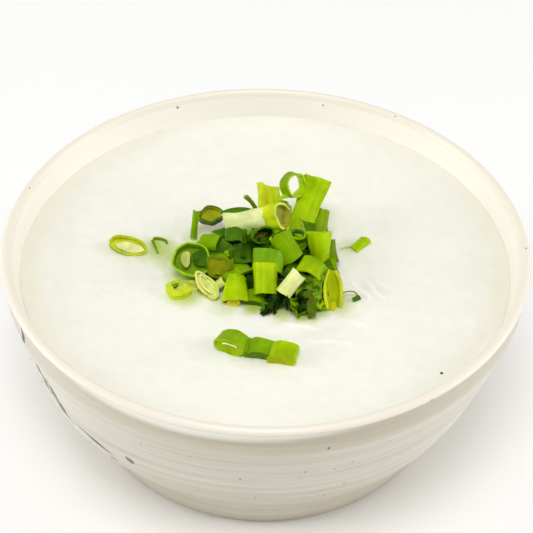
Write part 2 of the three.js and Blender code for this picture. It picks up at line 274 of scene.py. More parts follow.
# The wall's middle line tells its outside from its inside: how far it leans out as it rises, and
# the radii at the table where one passes into the other. Above the lip's shoulder nothing counts
# as outside, and below the turned edge all does.
WALL_LEAN = 0.3185
WALL_MIDDLE = (54.2 * MM, 55 * MM)
LIP_SHOULDER = (63.4 * MM, 62.2 * MM)
TURNED_PART_TOP = (22 * MM, 21.2 * MM)

# Specks that stand out: degrees round the bowl, height and radius in millimetres.
OUTSIDE_SPECKS = [
    (305.3, 62.5, 0.5), (264.8, 39.6, 0.5), (278.9, 43.6, 0.42), (278.1, 40.8, 0.36), (283.1, 55.4, 0.42),
    (289.2, 44.8, 0.36), (285.5, 42.8, 0.3), (289, 31.4, 0.42), (285, 24.5, 0.42), (260, 30.6, 0.34),
    (268, 27.4, 0.3), (252, 36.2, 0.3), (297, 51, 0.3), (243, 47.5, 0.34),
]
# Specks on the lip and inside it: x, y, z and radius in millimetres.
LIP_SPECKS = [
    (-28.5, 66, 61.8, 0.5), (-70.9, 22.5, 63.8, 0.3), (74.7, 14.5, 63.1, 0.35), (75.2, -3.4, 63.9, 0.35),
    (18.4, 68.6, 61.2, 0.35), (41.1, 59.6, 63.7, 0.3),
]
# Brush strokes: degrees round from the left, height, slope in degrees, half length, half width
# and bow, in millimetres.
STROKES = [
    (-8, 22, 8, 30, 0.7, 2.4), (-4, 34, 78, 18, 1.2, 2.6), (7, 33, 60, 18, 1.4, -2.6),
    (18, 30, 32, 16, 1.2, 2.4), (-15, 31, 112, 14, 1.1, -2.2), (20, 44, -38, 9, 1.0, 1.2),
    (31, 46, -70, 8, 1.5, 0.8), (37, 41, -62, 9, 1.7, -0.8), (26, 56, -52, 3.4, 1.0, 0.2),
    (47, 33, -24, 8.5, 1.1, 0.9), (44, 26, -20, 3.2, 1.0, 0.2), (51, 27, -34, 1.8, 1.0, 0.1),
    (57.5, 33.5, -60, 2.2, 1.2, 0.2), (-24, 47, 70, 3.4, 0.9, 0.3), (-19, 53, 40, 3, 0.8, -0.3),
    (-30, 26, 100, 3, 0.8, 0.3),
]


def on_outside(degrees, height):
    """The point of the bowl's outside at this place round it and this height."""
    outline = outside_wall + groove + lip[:3]
    radius = np.interp(height * MM, [z for r, z in outline], [r for r, z in outline])
    bearing = math.radians(degrees)
    stretch = oval_stretch(bearing, height * MM)
    return radius * stretch * math.cos(bearing), radius * stretch * math.sin(bearing), height * MM


glaze, start, shader = new_finish("cream_glaze", IOR=1.5)
place = start.node("TexCoord", {}, {}, "Object")
axes = start.node("SeparateXYZ", {}, {0: place})
across, along, height = (Wire(start.tree, axes.socket.node.outputs[i]) for i in range(3))
radius = start.math("SQRT", across * across + along * along)

outside = (radius - height * WALL_LEAN).step(*WALL_MIDDLE) * height.step(*LIP_SHOULDER)
outside = outside.larger(height.step(*TURNED_PART_TOP))
bands = place.stretched(7, 7, 210).grain(1.0, 4.0, 0.65).step(0.3, 0.7)
cream = height.step(*LIP_START).blend(GLAZE_INSIDE, GLAZE_LIP)
# Painted light: at the left and right the outside is blended less far towards its painted shade.
painted_side_light = (across * across / (radius * radius + MM * MM)).step(0.1, 0.9) * SIDES_PAINTED_LIGHTER
# Painted shade: the outside takes a darker, warmer copy of the cream, in soft bands.
cream = (outside * (bands * 0.4 + 0.6) * (1 - painted_side_light)).blend(cream, OUTSIDE_PAINTED_SHADE)
at_edge = 1 - (height - TURNED_EDGE).absolute().step(0.1 * MM, 0.6 * MM)
thin_edge = at_edge * place.grain(260).step(0.35, 0.6)
# Painted shade below the turned edge, under the lip and in the groove, in the same warm tan as the glaze
# where it breaks thin over the turned edge.
below_edge_painted_shade = height.step(TURNED_EDGE + 0.5 * MM, TURNED_EDGE - 0.5 * MM)
under_lip_painted_shade = (height - LIP_UNDERSIDE).absolute().step(0.9 * MM, 0.2 * MM) * outside
groove_painted_shade = (height - GROOVE_HEIGHT).absolute().step(5 * MM, 1.6 * MM) * outside
thin_glaze_and_shade_share = (thin_edge * 0.5).larger(below_edge_painted_shade * 0.4).larger(under_lip_painted_shade * 0.8).larger(groove_painted_shade * 0.3)
cream = thin_glaze_and_shade_share.blend(cream, THIN_GLAZE_AND_SHADE)

dust = start.node("TexVoronoi", {}, {"Vector": place, "Scale": 150.0}, "Distance")
chances = start.node("SeparateColor", {}, {0: Wire(start.tree, dust.socket.node.outputs["Color"])})
size = Wire(start.tree, chances.socket.node.outputs[1])
specks = chances.step(0.24, 0.23) * (dust - size * 0.035).step(0.04, 0.008) * 0.5
ragged = (place.grain(2600) - 0.5) * 0.35 * MM
speck_points = [(on_outside(degrees, z), radius) for degrees, z, radius in OUTSIDE_SPECKS]
speck_points += [((x * MM, y * MM, z * MM), radius) for x, y, z, radius in LIP_SPECKS]
for point, reach in speck_points:
    specks = specks.larger((place.apart(point) + ragged).step(reach * 1.25 * MM, reach * 0.4 * MM))
cream = (specks * 0.8).blend(cream, IRON_SPECK)

turn = start.math("ARCTAN2", along * -1, across * -1) * PAINTED_RADIUS
bristle = place.grain(1500, 3.0) - 0.5
painted = None
for degrees, z, slope, half_length, half_width, bow in STROKES:
    cosine, sine = math.cos(math.radians(slope)), math.sin(math.radians(slope))
    aside = turn - math.radians(degrees) * PAINTED_RADIUS
    up = height * (1 / MM) - z
    run = (aside * cosine + up * sine) / half_length
    narrowing = 1 - run * run
    offset = up * cosine - aside * sine - narrowing * bow
    stroke = (narrowing * half_width - offset.absolute() + bristle * 0.5).step(0.0, 0.16)
    painted = stroke if painted is None else painted.larger(stroke)
painted = painted * outside * across.step(0, -5 * MM)
cream = (painted * (0.96 - place.grain(700) * 0.25)).blend(cream, BRUSH_INK)

bare = height.step(1.1 * MM, 0.6 * MM)
feed(shader, "Base Color", bare.blend(cream, BARE_CLAY))
feed(shader, "Roughness", bare * 0.5 + place.grain(130, 3.0) * 0.16 + 0.28)
rings_felt = place.stretched(12, 12, 300).grain(1.0, 3.0)
relief(shader, rings_felt * 0.7 + place.grain(420, 3.0) * 0.3, 0.06 * MM)
bowl.data.materials.append(glaze)
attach(bowl, "root")
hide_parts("bowl")

# ---- The congee ----------------------------------------------------------------------------------
# Plain rice porridge, ladled in and set to a soft skin. It rounds down to the wall, where it is
# thinner and warmer, and painted shade darkens it there, most at the left and right. Burst grains
# and slow swells show in it as low lumps, and its strands of skin carry a painted highlight. Spots
# of painted shade grey it round the heap, it is tinted green in places near the onion, and one
# dark speck of husk lies on it.

CONGEE_LEVEL = 56.2 * MM
CONGEE_CONTACT = 55.7 * MM
SHOULDER_START = 60 * MM
RIPPLE = 0.28
SWELLS = [(0.141, 0.088, 0), (-0.064, 0.159, 1.9)]
CALM_RADIUS = (36, 50)
CONGEE_ROUNDS = 384
SKIN_STEP = 0.5 * MM
GRAINS = 2100
GRAIN_REACH = 70
WALL_OVERLAP = 0.05 * MM
EDGE_FADE = 1.6
HEAP_MIDDLE = (-0.5, -3)
HEAP_HALF = (21.5, 15)
FRONT_RINGS = 0.12
DIP_DEPTH = 1.2

wall_heights = [z for r, z in reversed(inside_wall)]
wall_radii = [r for r, z in reversed(inside_wall)]
contact_radius = float(np.interp(CONGEE_CONTACT, wall_heights, wall_radii)) + WALL_OVERLAP
wet_wall = [(r, z) for r, z in zip(wall_radii, wall_heights) if z < CONGEE_CONTACT - 1 * MM]
under_skin = [(max(r - 0.1 * MM, 0.3 * MM), z + 0.15 * MM) for r, z in wet_wall]
shoulder = [contact_radius - edge * MM for edge in (0.15, 0.45, 0.9, 1.4)]
skin_radii = shoulder + list(np.arange(shoulder[-1] - SKIN_STEP, 0.4 * MM, -SKIN_STEP))


def skin_height(radius):
    over = max(0.0, radius - SHOULDER_START) / (contact_radius - SHOULDER_START)
    return CONGEE_LEVEL - (CONGEE_LEVEL - CONGEE_CONTACT) * over**3


skin = [(radius, skin_height(radius)) for radius in skin_radii]
congee = turned("congee_fill", under_skin + [(contact_radius, CONGEE_CONTACT)] + skin, CONGEE_ROUNDS)
out_of_round(congee)

points = np.array([vertex.co for vertex in congee.data.vertices])
on_skin = points[:, 2] > CONGEE_CONTACT + 0.05 * MM
x, y = points[on_skin, 0] / MM, points[on_skin, 1] / MM
away = np.hypot(x, y)
calm = np.clip((away - CALM_RADIUS[0]) / (CALM_RADIUS[1] - CALM_RADIUS[0]), 0, 1)
calm = calm * calm * (3 - 2 * calm)
lift = sum(RIPPLE / 2 * calm * np.sin(x * a + y * b + phase) for a, b, phase in SWELLS)

# Burst grains: short soft ridges, lying any way.
scatter = random.Random(11)
for _ in range(GRAINS):
    distance = GRAIN_REACH * math.sqrt(scatter.random())
    bearing = scatter.uniform(0, 2 * math.pi)
    lie = scatter.uniform(0, math.pi)
    half_long = scatter.uniform(1.3, 2.9)
    half_wide = scatter.uniform(0.7, 1.3)
    rise = scatter.uniform(0.02, 0.12)
    from_x = x - distance * math.cos(bearing)
    from_y = y - distance * math.sin(bearing)
    near = np.abs(from_x) + np.abs(from_y) < 3 * half_long
    run = (from_x[near] * math.cos(lie) + from_y[near] * math.sin(lie)) / half_long
    offset = (from_y[near] * math.cos(lie) - from_x[near] * math.sin(lie)) / half_wide
    lift[near] += rise * np.exp(-run * run - offset * offset)

# Low rings pushed up in front of the heap.
ring_out = np.hypot((x - HEAP_MIDDLE[0]) / HEAP_HALF[0], (y - HEAP_MIDDLE[1]) / HEAP_HALF[1])
ahead = np.clip((-y - 12) / 14, 0, 1) * np.clip((x + 12) / 14, 0, 1)
lift += FRONT_RINGS * ahead * np.exp(-(((ring_out - 1.7) / 0.5) ** 2)) * np.sin(15 * ring_out + 0.12 * x)

# Strands of rice skin in front of the heap and at its right: where each starts and ends, and its
# rise, in millimetres.
STRANDS = [
    ((24.6, -9.8), (30.6, -17.6), 0.5), ((28.2, -9.6), (34.6, -17.6), 0.55),
    ((31.4, -8.4), (36.2, -13.2), 0.4), ((22.8, -25.6), (29.8, -27.8), 0.4),
    ((4.5, -26.6), (15.5, -29.4), 0.35), ((12, -33.8), (24.4, -34.2), 0.34),
]
# The strands' tops are also painted whiter, kept in the strand layer: a painted highlight.
strand = np.zeros(len(points))
for (x1, y1), (x2, y2), rise in STRANDS:
    length = math.hypot(x2 - x1, y2 - y1)
    run = ((x - x1) * (x2 - x1) + (y - y1) * (y2 - y1)) / length
    offset = ((y - y1) * (x2 - x1) - (x - x1) * (y2 - y1)) / length + 0.3 * np.sin(run * 0.8 + x1)
    run = np.clip(run, -10, length + 10)
    ends = 1 / (1 + np.exp(-(run - 0.6) * 3)) / (1 + np.exp((run - length + 0.6) * 3))
    lift += 0.7 * rise * ends * np.exp(-((offset / 0.55) ** 2))
    strand[on_skin] += 1.6 * rise * ends * np.exp(-((offset / 0.7) ** 2))

# The skin dips under the middle of the heap, where nothing shows.
dip = np.clip((0.8 - ring_out) / 0.2, 0, 1)
lift -= DIP_DEPTH * dip * dip * (3 - 2 * dip)
edge_fade = np.clip((contact_radius / MM - away) / EDGE_FADE, 0, 1)
points[on_skin, 2] += lift * edge_fade * MM
congee.data.vertices.foreach_set("co", points.ravel())
congee.data.attributes.new("strand", "FLOAT", "POINT")
congee.data.attributes["strand"].data.foreach_set("value", strand)
bpy.ops.object.shade_smooth_by_angle(angle=math.radians(60))

CONGEE_WHITE = paint(248, 247, 236)
CONGEE_SHADE = paint(244, 243, 230)
CONGEE_THIN_AND_SHADE = paint(230, 224, 205)
STRAND_PAINTED_HIGHLIGHT = paint(255, 254, 247)
CONGEE_GREEN = paint(186, 206, 92)
HUSK = paint(70, 56, 40)
HUSK_PLACE = (48.1, -45.8, 56.1)
# Spots of painted shade, greyer and warmer: x, y and reach in millimetres, and how strongly.
PAINTED_SHADE_SPOTS = [(31, -13, 8, 0.4), (15, -31, 11, 0.3), (26, 3, 9, 0.3), (19, 18, 9, 0.25), (-38, -6, 12, 0.2)]
# Where it is tinted green near the onion: x, y and reach in millimetres, and how strongly.
TINTED = [
    (-32, 5.4, 4, 1), (-30, 3.6, 7.5, 0.85), (-26.5, 0.5, 8.5, 0.8), (-35.5, 3.6, 7, 0.5),
    (-23.5, -4, 5, 0.5), (-40.4, 4.6, 9, 0.3), (-2.5, -20.4, 6, 1), (4, -22.4, 5.5, 0.8),
    (-24, -8, 6.5, 0.55), (16, -21.6, 6.5, 0.7), (12, -24, 5.5, 0.9), (20.6, -20, 7, 0.6),
    (-23, -15.5, 7, 0.75), (-11, -20, 7, 0.4), (-2, -38.4, 10, 0.12), (24, 4.4, 5, 0.3),
    (-20, 9.4, 6, 0.35), (6, 20, 8, 0.3),
]
porridge, start, shader = new_finish(
    "rice_congee", IOR=1.37,
    Subsurface_Weight=0.35, Subsurface_Radius=(1.0, 0.92, 0.7), Subsurface_Scale=1.6 * MM)
place = start.node("TexCoord", {}, {}, "Object")
axes = start.node("SeparateXYZ", {}, {0: place})
across, along = (Wire(start.tree, axes.socket.node.outputs[i]) for i in range(2))
cloud = place.grain(90, 4.0, 0.6).step(0.32, 0.7)
grain_sockets = {"Vector": place.stretched(1, 1, 0.4), "Scale": 330.0, "Smoothness": 0.6}
grains_seen = start.node("TexVoronoi", {"feature": "SMOOTH_F1"}, grain_sockets, "Distance")
body = (cloud * 0.6 + grains_seen.step(0.2, 0.75) * 0.4).blend(CONGEE_WHITE, CONGEE_SHADE)
from_middle = start.math("SQRT", across * across + along * along)
# Near the wall it is warmer where it thins, with painted shade from the wall that is deepest at the left and
# right.
near_wall = from_middle + (place.grain(120, 3.0) - 0.5) * 3 * MM
sideways = across * across / (from_middle * from_middle + MM * MM)
edge_thin_and_shade_share = near_wall.step(62 * MM, 71.5 * MM) * (sideways * 0.45 + 0.3)
body = edge_thin_and_shade_share.blend(body, CONGEE_THIN_AND_SHADE)
painted_shade_share = None
for px, py, reach, strength in PAINTED_SHADE_SPOTS:
    spot = place.apart((px * MM, py * MM, CONGEE_LEVEL)).step(reach * MM, 0) * strength
    painted_shade_share = spot if painted_shade_share is None else painted_shade_share.larger(spot)
body = painted_shade_share.blend(body, CONGEE_THIN_AND_SHADE)
# Painted highlight along the strands.
strand_highlight_seen = start.node("Attribute", {"attribute_name": "strand"}, {}, "Fac")
body = strand_highlight_seen.blend(body, STRAND_PAINTED_HIGHLIGHT)
green_tint_share = None
wander = (place.grain(150, 3.0) - 0.5) * 6 * MM
for px, py, reach, strength in TINTED:
    from_spot = place.apart((px * MM, py * MM, CONGEE_LEVEL)) + wander
    spot = from_spot.step(reach * MM, 0.2 * reach * MM) * strength
    green_tint_share = spot if green_tint_share is None else green_tint_share.larger(spot)
body = green_tint_share.blend(body, CONGEE_GREEN)
husk = place.apart([axis * MM for axis in HUSK_PLACE]).step(0.6 * MM, 0.3 * MM)
feed(shader, "Base Color", husk.blend(body, HUSK))
feed(shader, "Roughness", place.grain(240, 3.0).step(0.3, 0.7) * 0.2 + 0.36)
relief(shader, grains_seen * 0.6 + place.grain(900, 3.0) * 0.4, 0.06 * MM)
congee.data.materials.append(porridge)
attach(congee, "root")
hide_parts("congee")

# ---- The heap of cut spring onion ----------------------------------------------------------------
# Hollow stalks and leaves cut straight across and dropped in a heap. The skin is ribbed along its
# length and wet, the inside is paler, and the cut edge shows how thin the wall is.


def pick(piece, part, wanted):
    """In edit mode, leaves only those edges or faces selected that pass the test."""
    bpy.ops.mesh.select_mode(type=part)
    bpy.ops.mesh.select_all(action="DESELECT")
    bpy.ops.object.mode_set(mode="OBJECT")
    items = {"EDGE": piece.data.edges, "FACE": piece.data.polygons}[part]
    for item in items:
        item.select = wanted(item)
    bpy.ops.object.mode_set(mode="EDIT")


def onion_finish(name, tint_name, streak, roughness, bump):
    """Reads the piece's own tint and adds fibres along its length."""
    finish, start, shader = new_finish(
        name, Subsurface_Weight=0.2, Subsurface_Radius=(0.6, 1.0, 0.12), Subsurface_Scale=0.9 * MM, IOR=1.4,
        Specular_IOR_Level=0.22, Specular_Tint=(0.85, 1.0, 0.25, 1))
    tint = start.node("Attribute", {"attribute_name": tint_name}, {}, "Color")
    fibre_place = start.node("Attribute", {"attribute_name": "fibre"}, {}, "Vector")
    fibres = fibre_place.stretched(0.8, 0.8, 0.05).grain(1.0, 4.0, 0.55)
    patches = fibre_place.grain(0.25, 3.0)
    shade = (fibres - 0.5) * streak + (patches - 0.5) * 0.8 + 1
    feed(shader, "Base Color", tint.tinted(shade))
    feed(shader, "Roughness", patches * 0.22 + roughness)
    relief(shader, fibres, bump * MM)
    return finish


onion_skin = onion_finish("onion_skin", "skin_tint", 0.5, 0.26, 0.14)
onion_inside = onion_finish("onion_inside", "inside_tint", 0.5, 0.3, 0.12)
onion_cut = onion_finish("onion_cut_edge", "edge_tint", 0.4, 0.34, 0.05)

LIME = paint(190, 216, 2)
BRIGHT = paint(166, 200, 2)
MID = paint(126, 166, 2)
DEEP = paint(70, 112, 4)
DARK = paint(30, 66, 0)
OLIVE = paint(140, 138, 8)
BROWN = paint(116, 108, 26)
YELLOW = paint(208, 220, 40)
PALE = paint(224, 232, 124)
CREAM = paint(232, 238, 170)
TINT_NAMES = ("skin_tint", "inside_tint", "edge_tint")

NOISE_REACH = 40
ROW_LENGTH = 0.7
CUT_RAGGED = 0.45
END_HOLLOW = 0.1


def random_place(draw):
    """A place in the noise, for a piece to take its dents and fibres from."""
    return Vector([draw.uniform(-NOISE_REACH, NOISE_REACH) for _ in range(3)])


def onion_layers(mesh):
    """Adds the onion finishes, the fibre layer and the three tint layers. Gives the layers."""
    for finish in (onion_skin, onion_inside, onion_cut):
        mesh.materials.append(finish)
    mesh.attributes.new("fibre", "FLOAT_VECTOR", "POINT")
    for tint_name in TINT_NAMES:
        mesh.attributes.new(tint_name, "FLOAT_COLOR", "POINT")
    return mesh.attributes["fibre"], [mesh.attributes[tint_name] for tint_name in TINT_NAMES]


def lay(piece, at, aim, turn):
    """Turns a piece about its axis, aims the axis by azimuth and elevation, and puts it in place."""
    azimuth, elevation, roll = (math.radians(angle) for angle in (*aim, turn))
    lean = Matrix.Rotation(azimuth, 4, "Z") @ Matrix.Rotation(math.pi / 2 - elevation, 4, "Y")
    piece.matrix_world = Matrix.Translation(Vector(at) * MM) @ lean @ Matrix.Rotation(roll, 4, "Z")
    bpy.ops.object.transform_apply(location=True, rotation=True, scale=True)


def cut_stalk(name, at, aim, size, long, wall=0.0, turn=0, span=(-180, 180), slant=(0, 0), taper=(1, 1),
              belly=-0.05, bend=0.0, dents=0.1, crumple=0.02, skin=MID, far_skin=None, inside=BRIGHT,
              edge=None, sides=56, ribs=7, rib=0.01):
    """One cut length of stalk or leaf, or the part of its wall between two angles.

    at is its middle and aim the azimuth and elevation of its axis. size is the section's width and
    its depth from top to bottom, and angle 0 of span is the top. slant is how much longer the top is
    at the near and the far end, taper scales those ends, belly fattens the middle and bend bows it.
    dents are broad, crumple is finer, and rib is the depth of the ribs. skin is the tint at the near
    end and far_skin at the far end. A wall of 0 is a solid stalk. Millimetres and degrees.
    """
    bpy.ops.object.select_all(action="DESELECT")
    ends = "NOTHING" if wall else "TRIFAN"
    bpy.ops.mesh.primitive_cylinder_add(vertices=sides, radius=1, depth=1, end_fill_type=ends)
    piece = bpy.context.object
    piece.name = name
    mesh = piece.data
    heights = [vertex.co.z for vertex in mesh.vertices]
    ends_of_edges = [line.vertices for line in mesh.edges]
    upright = [abs(heights[a] - heights[b]) > 0.5 for a, b in ends_of_edges]
    bpy.ops.object.mode_set(mode="EDIT")
    pick(piece, "EDGE", lambda line: upright[line.index])
    bpy.ops.mesh.subdivide(number_cuts=max(3, round(long / ROW_LENGTH)))
    if span[1] - span[0] < 360:
        def outside_span(face):
            angle = math.degrees(math.atan2(-face.center.y, -face.center.x))
            return not span[0] <= angle <= span[1]
        pick(piece, "FACE", outside_span)
        bpy.ops.mesh.delete(type="FACE")
    bpy.ops.object.mode_set(mode="OBJECT")

    draw = random.Random(name)
    phase = draw.uniform(0, 2 * math.pi)
    offset = random_place(draw)
    cut = edge or [0.6 * a + 0.4 * b for a, b in zip(inside, PALE)]
    tints = [(skin, far_skin or skin), (inside, inside), (cut, cut)]
    fibre, layers = onion_layers(mesh)
    for vertex in mesh.vertices:
        share = vertex.co.z + 0.5
        around = math.atan2(vertex.co.y, vertex.co.x)
        ring = Vector((math.cos(around), math.sin(around), 0))
        scale = taper[0] * (1 - share) + taper[1] * share + belly * (1 - (2 * share - 1) ** 2)
        scale *= 1 + 2 * dents * noise.noise(ring * 0.9 + Vector((0, 0, share * long / 7)) + offset)
        scale *= 1 + 2 * crumple * noise.noise(ring * 2.4 + Vector((0, 0, share * long / 2.4)) + offset)
        scale *= 1 + rib * math.sin(ribs * around + phase) * (1 + noise.noise(ring * 2 + offset))
        x = vertex.co.x * size[1] / 2 * scale
        y = vertex.co.y * size[0] / 2 * scale
        ragged = CUT_RAGGED * noise.noise(ring * 1.1 + offset * 2)
        z = (share - 0.5) * long - x * (slant[0] * (share - 1) + slant[1] * share) + ragged * (2 * share - 1)
        if vertex.co.x**2 + vertex.co.y**2 < 0.01:
            z -= END_HOLLOW * size[1] * (2 * share - 1)
        x -= bend * (1 - (2 * share - 1) ** 2)
        vertex.co = (x * MM, y * MM, z * MM)
        fibre.data[vertex.index].vector = Vector((x, y, z)) + offset
        for layer, (near_tint, far_tint) in zip(layers, tints):
            mix = np.array(near_tint) * (1 - share) + np.array(far_tint) * share
            layer.data[vertex.index].color = mix
    if wall:
        shell = piece.modifiers.new("wall", "SOLIDIFY")
        shell.thickness = wall * MM
        shell.offset = -1
        shell.use_even_offset = True
        shell.material_offset = 1
        shell.material_offset_rim = 2
        bpy.ops.object.modifier_apply(modifier="wall")
    else:
        for face in mesh.polygons:
            if abs(face.normal.z) > 0.75:
                face.material_index = 2
    bpy.ops.object.shade_smooth_by_angle(angle=math.radians(50))
    lay(piece, at, aim, turn)
    return piece


def joined(name, pieces):
    """Makes one piece of several."""
    bpy.ops.object.select_all(action="DESELECT")
    for piece in pieces:
        piece.select_set(True)
    bpy.context.view_layer.objects.active = pieces[0]
    bpy.ops.object.join()
    pieces[0].name = name
    pieces[0].data.name = name
    return pieces[0]


